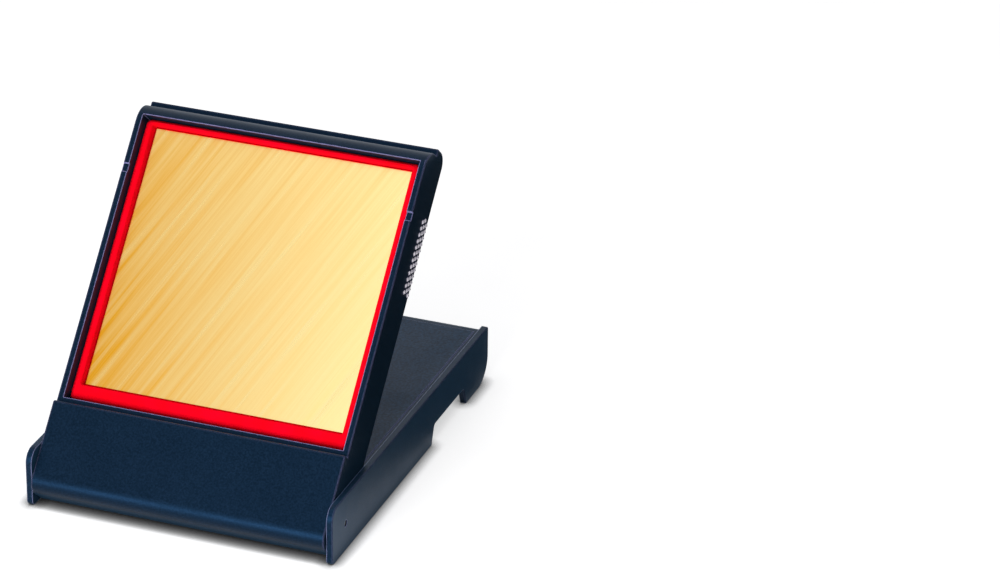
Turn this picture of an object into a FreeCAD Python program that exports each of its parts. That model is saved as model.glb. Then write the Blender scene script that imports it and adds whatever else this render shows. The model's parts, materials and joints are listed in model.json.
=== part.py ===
import FreeCAD, Part
import math
import os

# Presentation case for a square award plate, standing open as its own easel.
# The lid lies flat on the table behind as the foot, and the tray leans on the lid's bevelled edge.
# Both mouldings are drawn shut, with the hinge axis as the origin: Y runs from the hinge to the
# opening end and Z is up through the lid. The tray is then swung round to its stand.

# Whole case, in millimetres and degrees: it is built round its plate
plate_width = 100.0
plate_length = 98.4
plate_thick = 1.5
wall_height = 21.4
ear_reach = 12.0
stand_angle = 48.0

# Lid moulding
side_wall = 2.4
lid_panel = 2.2
pad_rise = 0.3
pad_margin = 1.2
pad_groove = 1.6
pad_edge = 0.2
front_wall = 2.3
front_proud = 0.6
front_gap = 0.4
lid_nose_radius = 3.5
lid_inner_radius = 1.0
ear_top_radius = 5.0
ear_foot_radius = 1.8
far_foot_radius = 10.0
far_top_radius = 1.0
wall_edge = 0.45
notch_margin = 3.7
notch_headroom = 0.5
notch_slope = 2.6
notch_radius = 1.6
thumb_width = 20.0
thumb_height = 6.0
thumb_radius = 1.2
panel_setback = 1.2

# Tray mouldings
shell = 2.2
rim = 2.3
heel_radius = 5.2
heel_foot_radius = 3.0
back_lip = 0.8
band_edge = 0.8
shelf_width = 2.1
ledge_reach = 2.7
ledge_height = 8.8
ledge_edge = 0.7
ledge_root = 0.4
nose_length = 5.2
nose_foot = 1.7
back_corner = 5.0
tray_edge = 0.5
back_end_wall = 5.5
rib_width = 2.0
rib_count = 3
boss_radius = 3.6
boss_length = 8.0

# Latch: a nub under each side of the lid drops into a notch in the tray's rim
latch_setback = 28.7
latch_length = 3.2
latch_depth = 0.6

# Moulded finger grips on both sides of the tray
grip_setback = 25.5
grip_columns = 12
grip_rows = 3
grip_pitch = 2.4
grip_rise = 0.55
grip_foot_share = 0.72
grip_tip_share = 0.30
stagger_share = 0.5

# Flocked insert, the plate in it and what holds them
insert_sheet = 0.8
insert_drop = 3.7
recess_depth = 4.4
recess_corner = 0.8
insert_corner = 2.4
insert_crown = 2.0
plate_bevel = 0.45
plate_side_border = 3.7
plate_near_border = 7.0
plate_far_border = 2.6
tape_thick = 0.3
tape_width = 12.0
tape_margin = 8.0
foam_margin = 3.0

# Hinge pins
pin_radius = 1.2
pin_inset = 0.3
pin_chamfer = 0.25

# Clearances
side_gap = 0.3
floor_gap = 0.2
shut_gap = 0.4
band_gap = 1.06
stop_gap = 0.2
latch_gap = 0.3
plate_gap = 0.4
insert_gap = 0.2
back_gap = 0.1
pin_gap = 0.05
overrun = 5.0
tiny = 1e-6

# Shared places, worked out from the sizes above
pivot_height = wall_height / 2
tray_half = pivot_height - floor_gap
panel_top = pivot_height - pad_rise
panel_under = panel_top - lid_panel
rim_top = panel_under - shut_gap
pocket_half = plate_width / 2 + plate_side_border
tray_width = 2 * (pocket_half + rim)
case_width = tray_width + 2 * (side_gap + side_wall)
tilt = math.radians(stand_angle)
stop_top = (panel_top * math.cos(tilt) + tray_half + stop_gap) / math.sin(tilt)
stop_low = stop_top - panel_setback
band_length = stop_low - band_gap
pocket_near = band_length + shelf_width
plate_near = pocket_near + plate_near_border
plate_far = plate_near + plate_length
pocket_far = plate_far + plate_far_border
nose_end = pocket_far + nose_length
tray_reach = nose_end + ledge_reach
ledge_top = ledge_height - tray_half
nose_radius = rim_top - ledge_top - nose_foot
back_face = shell - tray_half
front_outer = tray_reach + front_gap
lid_end = front_outer + front_proud
front_low = ledge_top + front_gap
latch_near = tray_reach - latch_setback - latch_length / 2
latch_far = latch_near + latch_length
latch_floor = rim_top - latch_depth
insert_top = rim_top - insert_drop
recess_floor = insert_top - recess_depth
plate_floor = recess_floor + tape_thick
grip_foot = grip_pitch * grip_foot_share / 2
grip_row = grip_pitch * math.sqrt(3) / 2
grip_low = grip_row - grip_pitch / 4 - tray_half
grip_top = grip_low + (grip_rows - 1) * grip_row + grip_foot
grip_end = tray_reach - grip_setback
grip_start = grip_end - (grip_columns - 1 + stagger_share) * grip_pitch
notch_near = grip_start - notch_margin
notch_far = grip_end + notch_margin
notch_ceiling = grip_top + notch_headroom
heel_front = ((ear_reach - heel_radius) * math.cos(tilt)
              + (tray_half - heel_radius) * math.sin(tilt) + heel_radius)
pivot_y = (max(ear_reach, heel_front) - lid_end) / 2


def rounded_face(corners):
    """Face in the YZ plane: a polygon of (y, z, radius) corners, each rounded by a tangent arc."""
    starts, middles, ends = [], [], []
    for index, (y, z, radius) in enumerate(corners):
        point = FreeCAD.Vector(0, y, z)
        before = FreeCAD.Vector(0, *corners[index - 1][:2]) - point
        after = FreeCAD.Vector(0, *corners[(index + 1) % len(corners)][:2]) - point
        before.normalize()
        after.normalize()
        half = before.getAngle(after) / 2
        reach = radius / math.tan(half)
        inward = before + after
        inward.normalize()
        starts.append(point + before * reach)
        ends.append(point + after * reach)
        middles.append(point + inward * (radius / math.sin(half) - radius))
    edges = []
    for index, (y, z, radius) in enumerate(corners):
        if radius > 0:
            edges.append(Part.Arc(starts[index], middles[index], ends[index]).toShape())
        following = starts[(index + 1) % len(corners)]
        if (following - ends[index]).Length > tiny:
            edges.append(Part.LineSegment(ends[index], following).toShape())
    return Part.Face(Part.Wire(edges))


def across(face, width, middle=0.0):
    """Extrude a YZ face along X to a width, centred on the given place."""
    moved = face.translated(FreeCAD.Vector(middle - width / 2, 0, 0))
    return moved.extrude(FreeCAD.Vector(width, 0, 0))


def block(half_width, y0, y1, z0, z1):
    """Box centred on X, between two places along Y and two heights."""
    corner = FreeCAD.Vector(-half_width, y0, z0)
    return Part.makeBox(2 * half_width, y1 - y0, z1 - z0, corner)


def soft_block(half_width, y0, y1, z0, z1, corner):
    """The same box with its four upright corners rounded."""
    solid = block(half_width, y0, y1, z0, z1)
    upright = [edge for edge in solid.Edges if edge_runs(edge, "Z")]
    return solid.makeFillet(corner, upright)


def edge_runs(edge, axis):
    """True where an edge is straight along the named axis."""
    box = edge.BoundBox
    spans = {"X": box.XLength, "Y": box.YLength, "Z": box.ZLength}
    return all((size > tiny) == (name == axis) for name, size in spans.items())


def edges_at(solid, axis, place):
    """Edges that lie wholly at one place along an axis."""
    low, high = axis + "Min", axis + "Max"
    found = []
    for edge in solid.Edges:
        box = edge.BoundBox
        if abs(getattr(box, low) - place) < tiny and abs(getattr(box, high) - place) < tiny:
            found.append(edge)
    return found


def rod(radius, x0, x1):
    """Cylinder along the hinge axis."""
    start = FreeCAD.Vector(x0, 0, 0)
    return Part.makeCylinder(radius, x1 - x0, start, FreeCAD.Vector(1, 0, 0))


def lay(solid):
    """Put a lid piece down where the foot lies."""
    return solid.translated(FreeCAD.Vector(0, pivot_y, pivot_height))


def stand(solid):
    """Swing a tray piece from shut to its stand, round the hinge axis."""
    swung = solid.rotated(FreeCAD.Vector(0, 0, 0), FreeCAD.Vector(1, 0, 0), stand_angle)
    return lay(swung)


def lid_side(sign):
    """Side wall of the lid with its ear, finger notch and hinge bore."""
    low, high = -pivot_height, pivot_height
    profile = rounded_face([
        (-ear_reach, low, ear_foot_radius),
        (notch_near, low, 0),
        (notch_near + notch_slope, notch_ceiling, notch_radius),
        (notch_far - notch_slope, notch_ceiling, notch_radius),
        (notch_far, low, 0),
        (lid_end, low, far_foot_radius),
        (lid_end, high, far_top_radius),
        (-ear_reach, high, ear_top_radius),
    ])
    outer = case_width / 2
    wall = across(profile, side_wall, sign * (outer - side_wall / 2))
    wall = wall.makeFillet(wall_edge, edges_at(wall, "X", sign * outer))
    bore = rod(pin_radius + pin_gap, -outer - overrun, outer + overrun)
    return wall.cut(bore)


def lid_shell():
    """Lid moulding: textured panel with a rounded end, front wall and two side walls."""
    edge_middle = panel_top - panel_setback * math.tan(tilt)
    front_inner = front_outer - front_wall
    profile = rounded_face([
        (stop_low, panel_under, 0),
        (front_inner, panel_under, lid_inner_radius),
        (front_inner, front_low, 0),
        (front_outer, front_low, 0),
        (front_outer, panel_top, lid_nose_radius),
        (stop_top, panel_top, 0),
        (stop_low, edge_middle, 0),
    ])
    inner_width = case_width - 2 * side_wall
    panel = across(profile, inner_width)
    thumb_top = front_low + thumb_height
    thumb = block(thumb_width / 2, front_inner - overrun, front_outer + overrun,
                  front_low - overrun, thumb_top)
    thumb = thumb.makeFillet(thumb_radius, [e for e in edges_at(thumb, "Z", thumb_top) if edge_runs(e, "Y")])
    panel = panel.cut(thumb)
    pad_end = front_outer - lid_nose_radius - pad_groove
    pad = block(inner_width / 2 - pad_margin, stop_top + pad_margin, pad_end, panel_top, pivot_height)
    pad = pad.makeChamfer(pad_edge, edges_at(pad, "Z", pivot_height))
    nub = block(rim / 2 - latch_gap, latch_near + latch_gap, latch_far - latch_gap,
                latch_floor + latch_gap, panel_under)
    rim_middle = FreeCAD.Vector(pocket_half + rim / 2, 0, 0)
    nubs = [nub.translated(rim_middle), nub.translated(-rim_middle)]
    return panel.multiFuse([pad, *nubs, lid_side(-1), lid_side(1)]).removeSplitter()


def grip(sign):
    """Rows of blunt moulded points, staggered, on one side of the tray near its back."""
    face = sign * tray_width / 2
    tip = grip_pitch * grip_tip_share / 2
    points = []
    for column in range(grip_columns):
        for row in range(grip_rows):
            y = grip_start + (column + (row % 2) * stagger_share) * grip_pitch
            z = grip_low + row * grip_row
            loops = []
            for depth, size in ((-shell / 2, grip_foot), (0, grip_foot), (grip_rise, tip)):
                place = face + sign * depth
                corners = [(y - size, z), (y, z - size), (y + size, z), (y, z + size), (y - size, z)]
                loops.append(Part.makePolygon([FreeCAD.Vector(place, cy, cz) for cy, cz in corners]))
            points.append(Part.makeLoft(loops, True, True))
    return points


def heel(inset):
    """Corners of the tray's hinge end, front to back, or of its inside when inset by the shell.

    Its end is level with the ears when shut, and a flat on it lies along the table when it stands.
    """
    half = tray_half - inset
    reach = ear_reach - inset
    flat_start = (reach * math.sin(tilt) - half) / math.cos(tilt)
    flat_end = -half * math.tan(tilt / 2)
    return [
        (-reach, half, heel_radius - inset),
        (-reach, flat_start, heel_foot_radius - inset),
        (flat_end, -half, half),
    ]


def tray_frame():
    """Front moulding of the tray: heel and band at the hinge, rims, rounded far end and its ledge."""
    low = -tray_half
    profile = rounded_face([
        (tray_reach, low, back_corner),
        (tray_reach, ledge_top, ledge_edge),
        (nose_end, ledge_top, ledge_root),
        (nose_end, rim_top, nose_radius),
        (band_length, rim_top, 0),
        (band_length, tray_half, band_edge),
        *heel(0),
    ])
    frame = across(profile, tray_width)
    sides = edges_at(frame, "X", -tray_width / 2) + edges_at(frame, "X", tray_width / 2)
    frame = frame.makeFillet(tray_edge, sides)
    pocket = block(pocket_half, pocket_near, pocket_far, back_face - overrun, tray_half + overrun)
    seat = block(pocket_half + back_lip, 0, tray_reach - back_end_wall, low - overrun, back_face)
    latches = block(tray_width, latch_near, latch_far, latch_floor, rim_top + overrun)
    frame = frame.cut(pocket).cut(seat).cut(latches).cut(band_hollow())
    bosses = []
    for sign in (-1, 1):
        inner, outer = sorted((sign * (tray_width / 2 - boss_length), sign * (tray_width / 2 - rim / 2)))
        bosses.append(rod(boss_radius, inner, outer))
    frame = frame.multiFuse(bosses + grip(-1) + grip(1))
    pin_way = rod(pin_radius, -case_width, case_width)
    return frame.cut(pin_way).removeSplitter()


def band_hollow():
    """Hollow inside the hinge band, with stiffening ribs left standing."""
    inside = tray_half - shell
    end = pocket_near - shell
    profile = rounded_face([(end, -inside, 0), (end, inside, 0), *heel(shell)])
    hollow = across(profile, 2 * pocket_half)
    step = 2 * pocket_half / (rib_count + 1)
    for number in range(rib_count):
        place = (number + 1) * step - pocket_half
        rib = block(rib_width / 2, -ear_reach, end + overrun, -tray_half, tray_half)
        hollow = hollow.cut(rib.translated(FreeCAD.Vector(place, 0, 0)))
    return hollow


def tray_back():
    """Flat back cover, snapped into the rear of the tray frame."""
    half = pocket_half + back_lip - back_gap
    return block(half, back_gap, tray_reach - back_end_wall - back_gap, -tray_half, back_face)


def insert_form(shrink, top, floor):
    """Outside of the formed insert, or its inside when shrunk by the sheet."""
    half = pocket_half - insert_gap - shrink
    near, far = pocket_near + insert_gap + shrink, pocket_far - insert_gap - shrink
    form = soft_block(half, near, far, back_face, top, insert_corner - shrink)
    form = form.makeFillet(insert_crown - shrink, edges_at(form, "Z", top))
    wide = plate_width / 2 + plate_gap + shrink
    recess_near, recess_far = plate_near - plate_gap - shrink, plate_far + plate_gap + shrink
    recess = soft_block(wide, recess_near, recess_far, floor, top + overrun, recess_corner)
    return form, recess


def flock_insert():
    """Vacuum-formed flocked liner: raised rounded border, recess for the plate, turned-down skirt."""
    outside, recess = insert_form(0, insert_top, recess_floor)
    outside = outside.cut(recess)
    inside, under = insert_form(insert_sheet, insert_top - insert_sheet, recess_floor - insert_sheet)
    return outside.cut(inside.cut(under))


def foam_support():
    """Foam pad under the recess, resting on the back cover."""
    half = plate_width / 2 - foam_margin
    return block(half, plate_near + foam_margin, plate_far - foam_margin,
                 back_face, recess_floor - insert_sheet)


def tape(near):
    """Strip of double-sided tape between the plate and the recess."""
    half = plate_width / 2 - tape_margin
    return block(half, near, near + tape_width, recess_floor, plate_floor)


def award_plate():
    """Blank square plate with a bevelled front edge."""
    top = plate_floor + plate_thick
    plate = block(plate_width / 2, plate_near, plate_far, plate_floor, top)
    return plate.makeChamfer(plate_bevel, edges_at(plate, "Z", top))


def hinge_pin(sign):
    """Steel pin pressed into the tray's boss and turning in the lid's ear."""
    ends = sorted((sign * (tray_width / 2 - boss_length), sign * (case_width / 2 - pin_inset)))
    pin = rod(pin_radius, *ends)
    return pin.makeChamfer(pin_chamfer, edges_at(pin, "X", ends[0]) + edges_at(pin, "X", ends[1]))


parts = {
    "lid_shell": lay(lid_shell()),
    "tray_frame": stand(tray_frame()),
    "tray_back": stand(tray_back()),
    "flock_insert": stand(flock_insert()),
    "foam_support": stand(foam_support()),
    "tape_lower": stand(tape(plate_near + tape_margin)),
    "tape_upper": stand(tape(plate_far - tape_margin - tape_width)),
    "award_plate": stand(award_plate()),
    "hinge_pin_left": stand(hinge_pin(-1)),
    "hinge_pin_right": stand(hinge_pin(1)),
}

os.makedirs("parts", exist_ok=True)
for name, solid in parts.items():
    print(name, solid.isValid(), len(solid.Solids), round(solid.Volume))
    solid.exportStep("parts/" + name + ".step")
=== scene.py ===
import json
import math
import bpy
import bmesh
from mathutils import Matrix, Vector


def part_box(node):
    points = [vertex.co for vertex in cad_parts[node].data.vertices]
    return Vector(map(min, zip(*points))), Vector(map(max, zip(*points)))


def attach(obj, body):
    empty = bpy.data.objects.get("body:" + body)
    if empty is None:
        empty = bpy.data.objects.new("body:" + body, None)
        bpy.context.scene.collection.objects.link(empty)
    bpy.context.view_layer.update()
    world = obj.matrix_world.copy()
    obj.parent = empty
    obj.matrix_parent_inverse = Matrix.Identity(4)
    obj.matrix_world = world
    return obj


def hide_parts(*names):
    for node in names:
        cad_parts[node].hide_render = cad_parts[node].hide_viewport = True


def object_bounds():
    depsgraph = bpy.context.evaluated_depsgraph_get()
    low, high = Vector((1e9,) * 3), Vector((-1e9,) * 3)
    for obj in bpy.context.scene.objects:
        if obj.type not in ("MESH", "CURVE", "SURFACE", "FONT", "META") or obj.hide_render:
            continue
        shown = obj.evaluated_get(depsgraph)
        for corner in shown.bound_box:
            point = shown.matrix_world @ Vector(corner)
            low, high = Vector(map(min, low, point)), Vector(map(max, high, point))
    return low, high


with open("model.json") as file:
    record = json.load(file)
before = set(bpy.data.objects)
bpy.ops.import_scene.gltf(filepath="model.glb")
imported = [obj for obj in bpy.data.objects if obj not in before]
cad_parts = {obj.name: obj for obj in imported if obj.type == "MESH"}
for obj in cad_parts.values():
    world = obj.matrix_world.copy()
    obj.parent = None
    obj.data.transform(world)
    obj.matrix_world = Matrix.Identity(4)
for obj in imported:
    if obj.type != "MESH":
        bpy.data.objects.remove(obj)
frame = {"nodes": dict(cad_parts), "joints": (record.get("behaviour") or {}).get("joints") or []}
cad_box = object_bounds()

# Lid moulding, standing on the table as the foot: black ABS from a spark-eroded mould, which leaves a fine
# grain on the walls and a coarser one on the raised panel. Both grains are drawn about twice as coarse as
# the real ones, so that they show at this distance.
nodes = frame["nodes"]
MM = 0.001


def linear(code):
    """An sRGB hex colour as the linear values that a socket takes."""
    parts = [int(code[place:place + 2], 16) / 255 for place in (1, 3, 5)]
    curve = [part / 12.92 if part <= 0.04045 else ((part + 0.055) / 1.055) ** 2.4 for part in parts]
    return (*curve, 1.0)


def add(tree, kind, settings, links=()):
    """Add a node, set its properties and input values, and link other nodes' outputs into it."""
    node = tree.nodes.new("ShaderNode" + kind)
    for name, value in settings.items():
        if isinstance(name, str) and hasattr(node, name):
            setattr(node, name, value)
        else:
            node.inputs[name].default_value = value
    for name, source in dict(links).items():
        tree.links.new(source, node.inputs[name])
    return node


def finish_for(name):
    """A new material for a finish: its node tree, its shader and the place on the object it is read at."""
    material = bpy.data.materials.new(name)
    material.use_nodes = True
    tree = material.node_tree
    return material, tree, tree.nodes["Principled BSDF"], add(tree, "TexCoord", {}).outputs["Object"]


def dress(node, *materials):
    """Give a CAD node its materials, in the order of their slots."""
    slots = nodes[node].data.materials
    slots.clear()
    for material in materials:
        slots.append(material)


def moulded_abs(name, grain_mm, depth_mm, roughness, edge_roughness, dark, light, edge_highlight_tone, haze):
    """Black ABS as it leaves the mould: navy black and satin on the grain, with a painted highlight in a
    paler tone along the edges.
    """
    material, tree, skin, place = finish_for(name)
    grain = add(tree, "TexNoise", {"Scale": 1 / (grain_mm * MM), "Detail": 2.0, "Roughness": 0.6},
                {"Vector": place})
    cloud_size, edge_radius = 22 * MM, 0.5 * MM
    cloud = add(tree, "TexNoise", {"Scale": 1 / cloud_size, "Detail": 3.0, "Roughness": 0.55},
                {"Vector": place})
    soft = add(tree, "Bevel", {"samples": 6, "Radius": edge_radius})
    flat = add(tree, "NewGeometry", {})
    turn = add(tree, "VectorMath", {"operation": "DOT_PRODUCT"},
               {0: soft.outputs["Normal"], 1: flat.outputs["Normal"]})
    edge = add(tree, "MapRange", {"From Min": 0.999, "From Max": 0.93}, {"Value": turn.outputs["Value"]})
    speckle = add(tree, "MapRange", {"From Min": 0.36, "From Max": 0.66}, {"Value": grain.outputs["Fac"]})
    shade = add(tree, "MixRGB", {"Color1": linear(dark), "Color2": linear(light)},
                {"Fac": speckle.outputs["Result"]})
    # Painted highlight: the rounded edges are painted in a paler tone, where the lamps would shine on them.
    painted_edge_highlight = add(tree, "MixRGB", {"Color2": linear(edge_highlight_tone)},
               {"Fac": edge.outputs["Result"], "Color1": shade.outputs["Color"]})
    tree.links.new(painted_edge_highlight.outputs["Color"], skin.inputs["Base Color"])
    mottle = add(tree, "MapRange", {"From Min": 0.3, "From Max": 0.7,
                                    "To Min": roughness - 0.04, "To Max": roughness + 0.05},
                 {"Value": cloud.outputs["Fac"]})
    gloss = add(tree, "MapRange", {"To Max": edge_roughness},
                {"Value": edge.outputs["Result"], "To Min": mottle.outputs["Result"]})
    tree.links.new(gloss.outputs["Result"], skin.inputs["Roughness"])
    bump = add(tree, "Bump", {"Strength": 1.0, "Distance": depth_mm * MM},
               {"Height": grain.outputs["Fac"], "Normal": soft.outputs["Normal"]})
    tree.links.new(bump.outputs["Normal"], skin.inputs["Normal"])
    skin.inputs["IOR"].default_value = 1.53
    skin.inputs["Specular IOR Level"].default_value = 0.28
    skin.inputs["Specular Tint"].default_value = linear("#5AA0EB")
    skin.inputs["Sheen Weight"].default_value = haze
    skin.inputs["Sheen Roughness"].default_value = 0.35
    skin.inputs["Sheen Tint"].default_value = linear("#62A6DC")
    return material


lid_abs = moulded_abs("lid_moulded_abs", grain_mm=0.7, depth_mm=0.02, roughness=0.44, edge_roughness=0.3,
                      dark="#010810", light="#0F2032", edge_highlight_tone="#7E82A8", haze=0.45)
panel_abs = moulded_abs("coarse_moulded_abs", grain_mm=0.9, depth_mm=0.06, roughness=0.5,
                        edge_roughness=0.4, dark="#01060C", light="#1E364E", edge_highlight_tone="#7E82A8", haze=0.3)
dress("lid_shell", lid_abs, panel_abs)
lid_low, lid_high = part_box("lid_shell")
side_wall = 2.4 * MM
panel_skin, panel_inset = 0.25 * MM, 0.5 * MM
for polygon in nodes["lid_shell"].data.polygons:
    middle = polygon.center
    if middle.z > lid_high.z - panel_skin and abs(middle.x) < lid_high.x - side_wall - panel_inset:
        polygon.material_index = 1

# Tray mouldings: the frame with its heel, band, rims and ledge, and the cover snapped in behind.
# They are the same ABS. The blunt points of the finger grips come polished from the mould, and the facets
# that face out of the tray are painted near white as glints, a painted highlight, so the grips show as
# bright dots.
tray_abs = moulded_abs("moulded_abs", grain_mm=0.7, depth_mm=0.02, roughness=0.42, edge_roughness=0.3,
                       dark="#01060C", light="#0B1826", edge_highlight_tone="#8F8ABC", haze=0.15)
grip_abs = moulded_abs("polished_moulded_abs", grain_mm=0.5, depth_mm=0.004, roughness=0.2,
                       edge_roughness=0.2, dark="#0A0C1C", light="#10122C", edge_highlight_tone="#1B1A38", haze=0.2)
# Painted glints: a near-white colour for the grip facets that face out of the tray.
painted_glint_abs = moulded_abs("painted_glint_moulded_abs", grain_mm=0.5, depth_mm=0.004, roughness=0.3,
                         edge_roughness=0.3, dark="#F0E8FA", light="#FFFAFF", edge_highlight_tone="#FFFAFF", haze=0.2)
dress("tray_frame", tray_abs, grip_abs, painted_glint_abs)
dress("tray_back", tray_abs)
stand_angle = math.radians(48)
outward = Vector((0, -math.sin(stand_angle), math.cos(stand_angle)))
tray_side = 56.0 * MM
grip_rise = 0.55 * MM
grip_foot_share, glint_facing = 0.05, 0.2
for polygon in nodes["tray_frame"].data.polygons:
    if abs(polygon.center.x) - tray_side > grip_foot_share * grip_rise:
        # Out-facing grip facets take the painted glint colour.
        polygon.material_index = 2 if polygon.normal.dot(outward) > glint_facing else 1

# Hinge pins: short ground steel rods, blackened in hot oxide and pressed into the tray.
# Their ends show in the ears of the lid as dull dark dots with fine grinding marks.
pin_steel, tree, skin, place = finish_for("blackened_steel")
mark_size = 0.15 * MM
marks = add(tree, "TexNoise", {"Scale": 1 / mark_size, "Detail": 2.0}, {"Vector": place})
oxide = add(tree, "MixRGB", {"Color1": linear("#1C1E21"), "Color2": linear("#2C2F33")},
            {"Fac": marks.outputs["Fac"]})
tree.links.new(oxide.outputs["Color"], skin.inputs["Base Color"])
dull = add(tree, "MapRange", {"To Min": 0.34, "To Max": 0.5}, {"Value": marks.outputs["Fac"]})
tree.links.new(dull.outputs["Result"], skin.inputs["Roughness"])
skin.inputs["Metallic"].default_value = 1.0
for side in ("left", "right"):
    dress("hinge_pin_" + side, pin_steel)

# Foam support: a grey closed-cell pad, die-cut so that its edges are pressed slightly round.
# It is glued to the back cover and carries the floor of the insert.
hinge = Vector(frame["joints"][0]["pos_m"])
along = Vector((0, math.cos(stand_angle), math.sin(stand_angle)))


def tray_span(node):
    """Across, slope and height spans of a tray node, measured in the tray's own directions."""
    points = [vertex.co - hinge for vertex in nodes[node].data.vertices]
    spans = []
    for direction in (Vector((1, 0, 0)), along, outward):
        reach = [point.dot(direction) for point in points]
        spans.append((min(reach), max(reach)))
    return spans


def on_tray(x, slope, height):
    """A point of the tray: across, up its slope from the hinge, and out of its face."""
    return hinge + Vector((x, 0, 0)) + along * slope + outward * height


def border_loop(half, near, far, corner, height, turns=8, runs=40):
    """Points round a rectangle with rounded corners at one height over the tray, as many on each side."""
    points = []
    centres = ((half - corner, near + corner, -90), (half - corner, far - corner, 0),
               (corner - half, far - corner, 90), (corner - half, near + corner, 180))
    for index, (x, slope, start) in enumerate(centres):
        arc = [math.radians(start + 90 * turn / turns) for turn in range(turns + 1)]
        points += [(x + corner * math.cos(angle), slope + corner * math.sin(angle)) for angle in arc]
        next_x, next_slope, next_start = centres[(index + 1) % 4]
        angle = math.radians(next_start)
        end = (next_x + corner * math.cos(angle), next_slope + corner * math.sin(angle))
        begin = points[-1]
        for run in range(1, runs):
            share = run / runs
            points.append(tuple(a + (b - a) * share for a, b in zip(begin, end)))
    return [on_tray(x, slope, height) for x, slope in points]


def stacked_skin(name, loops, material, body, node):
    """A closed skin over a stack of loops, capped at both ends, in place of a CAD node."""
    form = bmesh.new()
    rings = [[form.verts.new(point) for point in loop] for loop in loops]
    for below, above in zip(rings, rings[1:]):
        for index in range(len(below)):
            after = (index + 1) % len(below)
            form.faces.new((below[index], below[after], above[after], above[index]))
    form.faces.new(rings[-1])
    form.faces.new(list(reversed(rings[0])))
    bmesh.ops.recalc_face_normals(form, faces=form.faces)
    mesh = bpy.data.meshes.new(name)
    form.to_mesh(mesh)
    form.free()
    mesh.shade_smooth()
    mesh.set_sharp_from_angle(angle=math.radians(50))
    mesh.materials.append(material)
    piece = bpy.data.objects.new(name, mesh)
    bpy.context.scene.collection.objects.link(piece)
    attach(piece, body)
    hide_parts(node)
    return piece


foam, tree, skin, place = finish_for("closed_cell_foam")
cell_size, cell_depth = 0.8 * MM, 0.15 * MM
cells = add(tree, "TexVoronoi", {"Scale": 1 / cell_size}, {"Vector": place})
grey = add(tree, "MixRGB", {"Color1": linear("#3C3E40"), "Color2": linear("#57595B")},
           {"Fac": cells.outputs["Distance"]})
tree.links.new(grey.outputs["Color"], skin.inputs["Base Color"])
skin.inputs["Roughness"].default_value = 0.9
bump = add(tree, "Bump", {"Distance": cell_depth}, {"Height": cells.outputs["Distance"]})
tree.links.new(bump.outputs["Normal"], skin.inputs["Normal"])
(_, foam_half), (foam_near, foam_far), (foam_back, foam_face) = tray_span("foam_support")
pressed = 0.8 * MM
foam_loops = []
for turn in range(-90, 91, 15):
    inset = pressed * (1 - math.cos(math.radians(turn)))
    level = foam_back + pressed if turn < 0 else foam_face - pressed
    height = level + pressed * math.sin(math.radians(turn))
    foam_loops.append(border_loop(foam_half - inset, foam_near + inset, foam_far - inset,
                                  2 * pressed - inset, height, turns=4, runs=8))
foam_pad = stacked_skin("foam_pad", foam_loops, foam, "tray", "foam_support")

# Flocked insert: a sheet of polystyrene, vacuum-formed with a raised border and a recess for the plate,
# then sprayed with glue and covered in short upright rayon fibres. The pile is matt and glows at its edges.
# It is drawn in tufts, which are coarser than the real fibres.
flock, tree, skin, place = finish_for("rayon_flock")
tuft_size, tuft_depth, nap_size = 0.35 * MM, 0.12 * MM, 9 * MM
fibres = add(tree, "TexNoise", {"Scale": 1 / tuft_size, "Detail": 3.0, "Roughness": 0.7}, {"Vector": place})
nap = add(tree, "TexNoise", {"Scale": 1 / nap_size, "Detail": 2.0}, {"Vector": place})
pile = add(tree, "Math", {"operation": "MULTIPLY"}, {0: fibres.outputs["Fac"], 1: nap.outputs["Fac"]})
reach = add(tree, "MapRange", {"From Min": 0.12, "From Max": 0.38}, {"Value": pile.outputs["Value"]})
red = add(tree, "MixRGB", {"Color1": linear("#EC0014"), "Color2": linear("#FF0022")},
          {"Fac": reach.outputs["Result"]})
tree.links.new(red.outputs["Color"], skin.inputs["Base Color"])
skin.inputs["Roughness"].default_value = 1.0
skin.inputs["Specular IOR Level"].default_value = 0.05
skin.inputs["Sheen Weight"].default_value = 0.3
skin.inputs["Sheen Roughness"].default_value = 0.45
skin.inputs["Sheen Tint"].default_value = linear("#FF1030")
bump = add(tree, "Bump", {"Strength": 0.8, "Distance": tuft_depth}, {"Height": fibres.outputs["Fac"]})
tree.links.new(bump.outputs["Normal"], skin.inputs["Normal"])

(_, insert_half), (insert_near, insert_far), (insert_back, insert_top) = tray_span("flock_insert")
(_, plate_half), (plate_near, plate_far), (plate_back, _) = tray_span("award_plate")
recess_gap = 0.4 * MM
tape_thick = 0.3 * MM
recess_floor = plate_back - tape_thick
sheet = 0.8 * MM
crown = 2.0 * MM
lip = 0.9 * MM
outer_corner = 2.4 * MM
recess_corner = 0.8 * MM
least_corner = 0.3 * MM


def recess_loop(spread, height):
    """Loop round the recess for the plate, spread outwards."""
    return border_loop(plate_half + recess_gap + spread, plate_near - recess_gap - spread,
                       plate_far + recess_gap + spread, recess_corner + spread, height)


def skirt_loop(inset, height):
    """Loop round the outside of the insert, drawn in."""
    return border_loop(insert_half - inset, insert_near + inset, insert_far - inset,
                       max(outer_corner - inset, least_corner), height)


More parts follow.
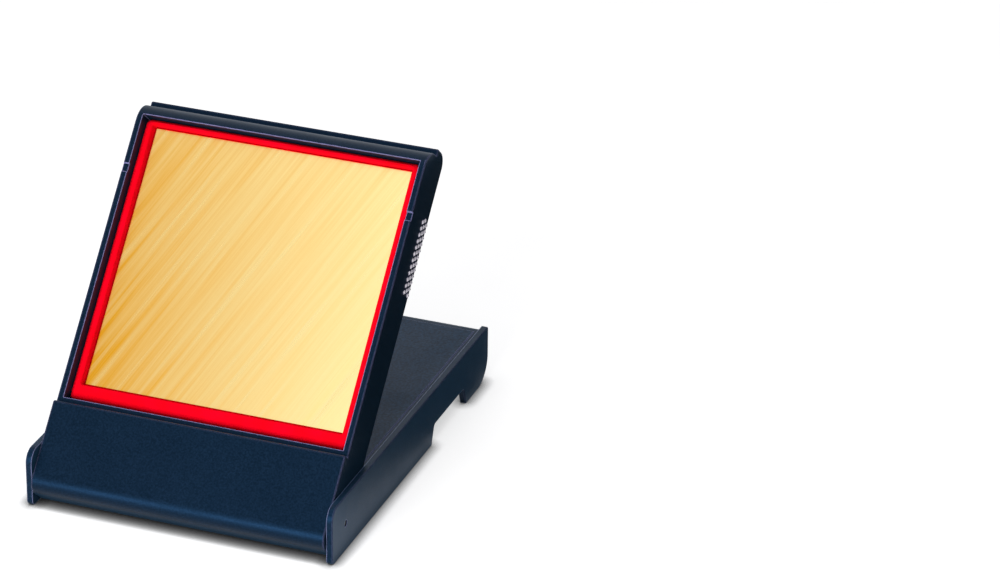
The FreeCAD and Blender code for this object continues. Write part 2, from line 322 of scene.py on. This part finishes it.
insert_loops = [recess_loop(0, recess_floor)]
for turn in range(90, -1, -15):
    angle = math.radians(turn)
    insert_loops.append(recess_loop(lip * (1 - math.sin(angle)), insert_top - lip * (1 - math.cos(angle))))
for turn in range(90, -1, -10):
    angle = math.radians(turn)
    insert_loops.append(skirt_loop(crown * (1 - math.cos(angle)),
                                   insert_top - crown * (1 - math.sin(angle))))
insert_loops.append(skirt_loop(0, insert_back))
insert_loops.append(skirt_loop(sheet, insert_back))
for turn in range(0, 91, 15):
    angle = math.radians(turn)
    insert_loops.append(skirt_loop(sheet + (crown - sheet) * (1 - math.cos(angle)),
                                   insert_top - sheet - (crown - sheet) * (1 - math.sin(angle))))
insert_loops.append(recess_loop(sheet, insert_top - sheet))
insert_loops.append(recess_loop(sheet, recess_floor - sheet))
stacked_skin("flocked_insert", insert_loops, flock, "tray", "flock_insert")

# Tape: two strips of paper-backed double-sided tape between the insert and the plate.
# They are hidden once the plate is pressed on.
tape, tree, skin, place = finish_for("paper_tape")
pulp_size = 0.6 * MM
pulp = add(tree, "TexNoise", {"Scale": 1 / pulp_size, "Detail": 4.0}, {"Vector": place})
cream = add(tree, "MixRGB", {"Color1": linear("#D8D2C2"), "Color2": linear("#EFEBDF")},
            {"Fac": pulp.outputs["Fac"]})
tree.links.new(cream.outputs["Color"], skin.inputs["Base Color"])
skin.inputs["Roughness"].default_value = 0.7
for strip in ("lower", "upper"):
    dress("tape_" + strip, tape)

# Award plate: a blank square of aluminium, brushed on the diagonal and then anodised gold.
# The brush leaves long lines, drawn here wider than the real ones, the gold is painted paler towards one
# side as a painted reflection of the lamps, and the bevel round the face was cut bright.


def anodised_gold(name, deep, pale, smooth, coarse):
    """Gold anodised aluminium with diagonal brush lines and a painted reflection, deep to pale across the
    plate.
    """
    material, tree, skin, place = finish_for(name)
    brush_angle = math.radians(64.5)
    fine_length, fine_width = 60 * MM, 0.45 * MM
    broad_length, broad_width = 90 * MM, 2.6 * MM
    line_tone, line_depth = 0.26, 0.01 * MM
    flat = add(tree, "Mapping", {"Rotation": (-stand_angle, 0, 0)}, {"Vector": place})
    turned = add(tree, "Mapping", {"Rotation": (0, 0, -brush_angle)}, {"Vector": flat.outputs["Vector"]})
    fine_way = add(tree, "Mapping", {"Scale": (1 / fine_length, 1 / fine_width, 0.0)},
                   {"Vector": turned.outputs["Vector"]})
    broad_way = add(tree, "Mapping", {"Scale": (1 / broad_length, 1 / broad_width, 0.0)},
                    {"Vector": turned.outputs["Vector"]})
    fine = add(tree, "TexNoise", {"Scale": 1.0, "Detail": 3.0, "Roughness": 0.6},
               {"Vector": fine_way.outputs["Vector"]})
    broad = add(tree, "TexNoise", {"Scale": 1.0, "Detail": 3.0, "Roughness": 0.55},
                {"Vector": broad_way.outputs["Vector"]})
    lines = add(tree, "Math", {"operation": "MULTIPLY_ADD", 1: 0.35},
                {0: fine.outputs["Fac"], 2: broad.outputs["Fac"]})
    depth = add(tree, "MapRange",
                {"From Min": 0.45, "From Max": 0.9, "To Min": -line_tone, "To Max": line_tone},
                {"Value": lines.outputs["Value"]})
    # Painted reflection: the gold is painted paler towards the right and darker in the lower left, as the
    # lamps' reflection falls.
    spot = add(tree, "SeparateXYZ", {}, {"Vector": flat.outputs["Vector"]})
    plate_middle = hinge.dot(along) + (plate_near + plate_far) / 2
    across = add(tree, "MapRange", {"From Min": -plate_half, "From Max": plate_half, "To Min": -1.0},
                 {"Value": spot.outputs["X"]})
    reflection_climb = add(tree, "MapRange",
                {"From Min": plate_middle - plate_half, "From Max": plate_middle + plate_half,
                 "To Min": 0.12, "To Max": -0.08}, {"Value": spot.outputs["Y"]})
    side = add(tree, "MapRange", {"From Min": -1.0, "To Min": 0.25, "To Max": 0.94},
               {"Value": across.outputs["Result"]})
    painted_reflection = add(tree, "Math", {"operation": "MULTIPLY_ADD"},
               {0: across.outputs["Result"], 1: reflection_climb.outputs["Result"], 2: side.outputs["Result"]})
    fade = add(tree, "MapRange", {"To Min": 1.3, "To Max": 0.5}, {"Value": painted_reflection.outputs["Value"]})
    tone = add(tree, "Math", {"operation": "MULTIPLY_ADD"},
               {0: depth.outputs["Result"], 1: fade.outputs["Result"], 2: painted_reflection.outputs["Value"]})
    dye = add(tree, "MixRGB", {"Color1": linear(deep), "Color2": linear(pale)},
              {"Fac": tone.outputs["Value"]})
    tree.links.new(dye.outputs["Color"], skin.inputs["Base Color"])
    dull = add(tree, "MapRange",
               {"From Min": -line_tone, "From Max": line_tone, "To Min": coarse, "To Max": smooth},
               {"Value": depth.outputs["Result"]})
    tree.links.new(dull.outputs["Result"], skin.inputs["Roughness"])
    bump = add(tree, "Bump", {"Strength": 0.3, "Distance": line_depth}, {"Height": lines.outputs["Value"]})
    tree.links.new(bump.outputs["Normal"], skin.inputs["Normal"])
    skin.inputs["Metallic"].default_value = 1.0
    return material


dress("award_plate", anodised_gold("brushed_anodised_gold", "#D0941E", "#EED999", 0.26, 0.36),
      anodised_gold("bright_cut_gold", "#E9B765", "#FFF0C4", 0.12, 0.16))
flat_facing = 0.99
for polygon in nodes["award_plate"].data.polygons:
    if polygon.normal.dot(outward) < flat_facing:
        polygon.material_index = 1

# Studio: a white table in a white surround, a low soft box in front that lights the case and shines
# in its rounded heel, and a large dim one overhead.
world = bpy.data.worlds.new("white_surround")
bpy.context.scene.world = world
world.use_nodes = True
tree = world.node_tree


def shown_to(tree):
    """One where the camera looks straight, in a reflection or through something, and else nought."""
    rays = add(tree, "LightPath", {})
    mirrored = add(tree, "Math", {"operation": "MAXIMUM"},
                   {0: rays.outputs["Is Glossy Ray"], 1: rays.outputs["Is Transmission Ray"]})
    return add(tree, "Math", {"operation": "MAXIMUM"},
               {0: rays.outputs["Is Camera Ray"], 1: mirrored.outputs["Value"]}).outputs["Value"]


surround = add(tree, "MixRGB", {"Color1": linear("#8A8A8C"), "Color2": linear("#FFFFFF")},
               {"Fac": shown_to(tree)})
tree.links.new(surround.outputs["Color"], tree.nodes["Background"].inputs["Color"])

table_size, table_gap = 8.0, 0.1 * MM
bpy.ops.mesh.primitive_plane_add(size=table_size, location=(0, 0, lid_low.z - table_gap))
table = bpy.context.object
table.name = "table"
laminate, tree, skin, place = finish_for("white_laminate")
speck_size, contact_reach = 40 * MM, 5 * MM
speck = add(tree, "TexNoise", {"Scale": 1 / speck_size, "Detail": 3.0}, {"Vector": place})
white = add(tree, "MixRGB", {"Color1": linear("#F2F2F2"), "Color2": linear("#F6F6F6")},
            {"Fac": speck.outputs["Fac"]})
# Painted contact shadow: the table's colour is darkened towards near black where the case stands close over
# it.
painted_contact_shadow = add(tree, "AmbientOcclusion", {"samples": 8, "Distance": contact_reach},
              {"Color": white.outputs["Color"]})
deep = add(tree, "Math", {"operation": "POWER", 1: 2.0}, {0: painted_contact_shadow.outputs["AO"]})
shaded = add(tree, "MixRGB", {"Color1": linear("#0A0B0D")},
             {"Fac": deep.outputs["Value"], "Color2": white.outputs["Color"]})
tree.links.new(shaded.outputs["Color"], skin.inputs["Base Color"])
skin.inputs["Roughness"].default_value = 0.9
skin.inputs["Specular IOR Level"].default_value = 0.0
glow = add(tree, "Math", {"operation": "MULTIPLY", 1: 0.6}, {0: shown_to(tree)})
tree.links.new(shaded.outputs["Color"], skin.inputs["Emission Color"])
tree.links.new(glow.outputs["Value"], skin.inputs["Emission Strength"])
table.data.materials.append(laminate)


def soft_box(name, place, aim, width, height, watts):
    """A rectangular soft box at a place, turned to face a point."""
    light = bpy.data.lights.new(name, "AREA")
    light.shape = "RECTANGLE"
    light.size, light.size_y = width, height
    light.energy = watts
    lamp = bpy.data.objects.new(name, light)
    lamp.location = place
    lamp.rotation_mode = "QUATERNION"
    lamp.rotation_quaternion = (aim - place).to_track_quat("-Z", "Y")
    bpy.context.scene.collection.objects.link(lamp)


case_middle = (cad_box[0] + cad_box[1]) / 2
key_place = hinge + Vector((-0.12, -0.82, 0.18))
key_aim = hinge + Vector((0.03, 0, 0))
top_place = case_middle + Vector((0.20, -0.20, 1.60))
soft_box("key_box", key_place, key_aim, width=0.60, height=0.34, watts=8.0)
soft_box("top_box", top_place, case_middle, width=2.0, height=2.0, watts=11.0)

# Black flag: a matt black card on the table, folded round the right side of the case, as photographers
# stand one beside dark things so that their sides don't grey out. Only reflections see it.
flag_line = [(74 * MM, -50 * MM), (60.5 * MM, 30 * MM), (60.5 * MM, 90 * MM)]
flag_height = 110 * MM
flag_mesh = bpy.data.meshes.new("black_flag")
flag_mesh.from_pydata([(x, y, z) for z in (0, flag_height) for x, y in flag_line], [],
                      [(0, 1, 4, 3), (1, 2, 5, 4)])
flag = bpy.data.objects.new("black_flag", flag_mesh)
velvet, _, skin, _ = finish_for("black_velvet")
skin.inputs["Base Color"].default_value = linear("#050507")
skin.inputs["Specular IOR Level"].default_value = 0.0
flag_mesh.materials.append(velvet)
bpy.context.scene.collection.objects.link(flag)
flag.visible_camera = flag.visible_diffuse = flag.visible_shadow = flag.visible_transmission = False

# Camera: a long lens a little above the case and to its right, level but for a slight roll.
# The offsets run from the foot of the hinge line, across, up and back along the camera's own directions.
view_azimuth, view_elevation, view_roll = (math.radians(value) for value in (20.16, 26.50, 0.79))
offset_right, offset_up, offset_back = 108.77 * MM, 80.48 * MM, 1567.84 * MM
camera_data = bpy.data.cameras.new("camera")
camera_data.sensor_width = 36.0
camera_data.lens = 159.83
camera = bpy.data.objects.new("camera", camera_data)
bpy.context.scene.collection.objects.link(camera)
back = Vector((math.sin(view_azimuth) * math.cos(view_elevation),
               -math.cos(view_azimuth) * math.cos(view_elevation), math.sin(view_elevation)))
level = Vector((math.cos(view_azimuth), math.sin(view_azimuth), 0))
upright = back.cross(level)
right = level * math.cos(view_roll) + upright * math.sin(view_roll)
up = upright * math.cos(view_roll) - level * math.sin(view_roll)
foot = Vector((0, hinge.y, 0))
stand = Matrix.Translation(foot + right * offset_right + up * offset_up + back * offset_back)
camera.matrix_world = stand @ Matrix((right, up, back)).transposed().to_4x4()
camera_data.clip_start, camera_data.clip_end = 0.05, 50
bpy.context.scene.camera = camera
bpy.context.scene.view_settings.view_transform = "Standard"
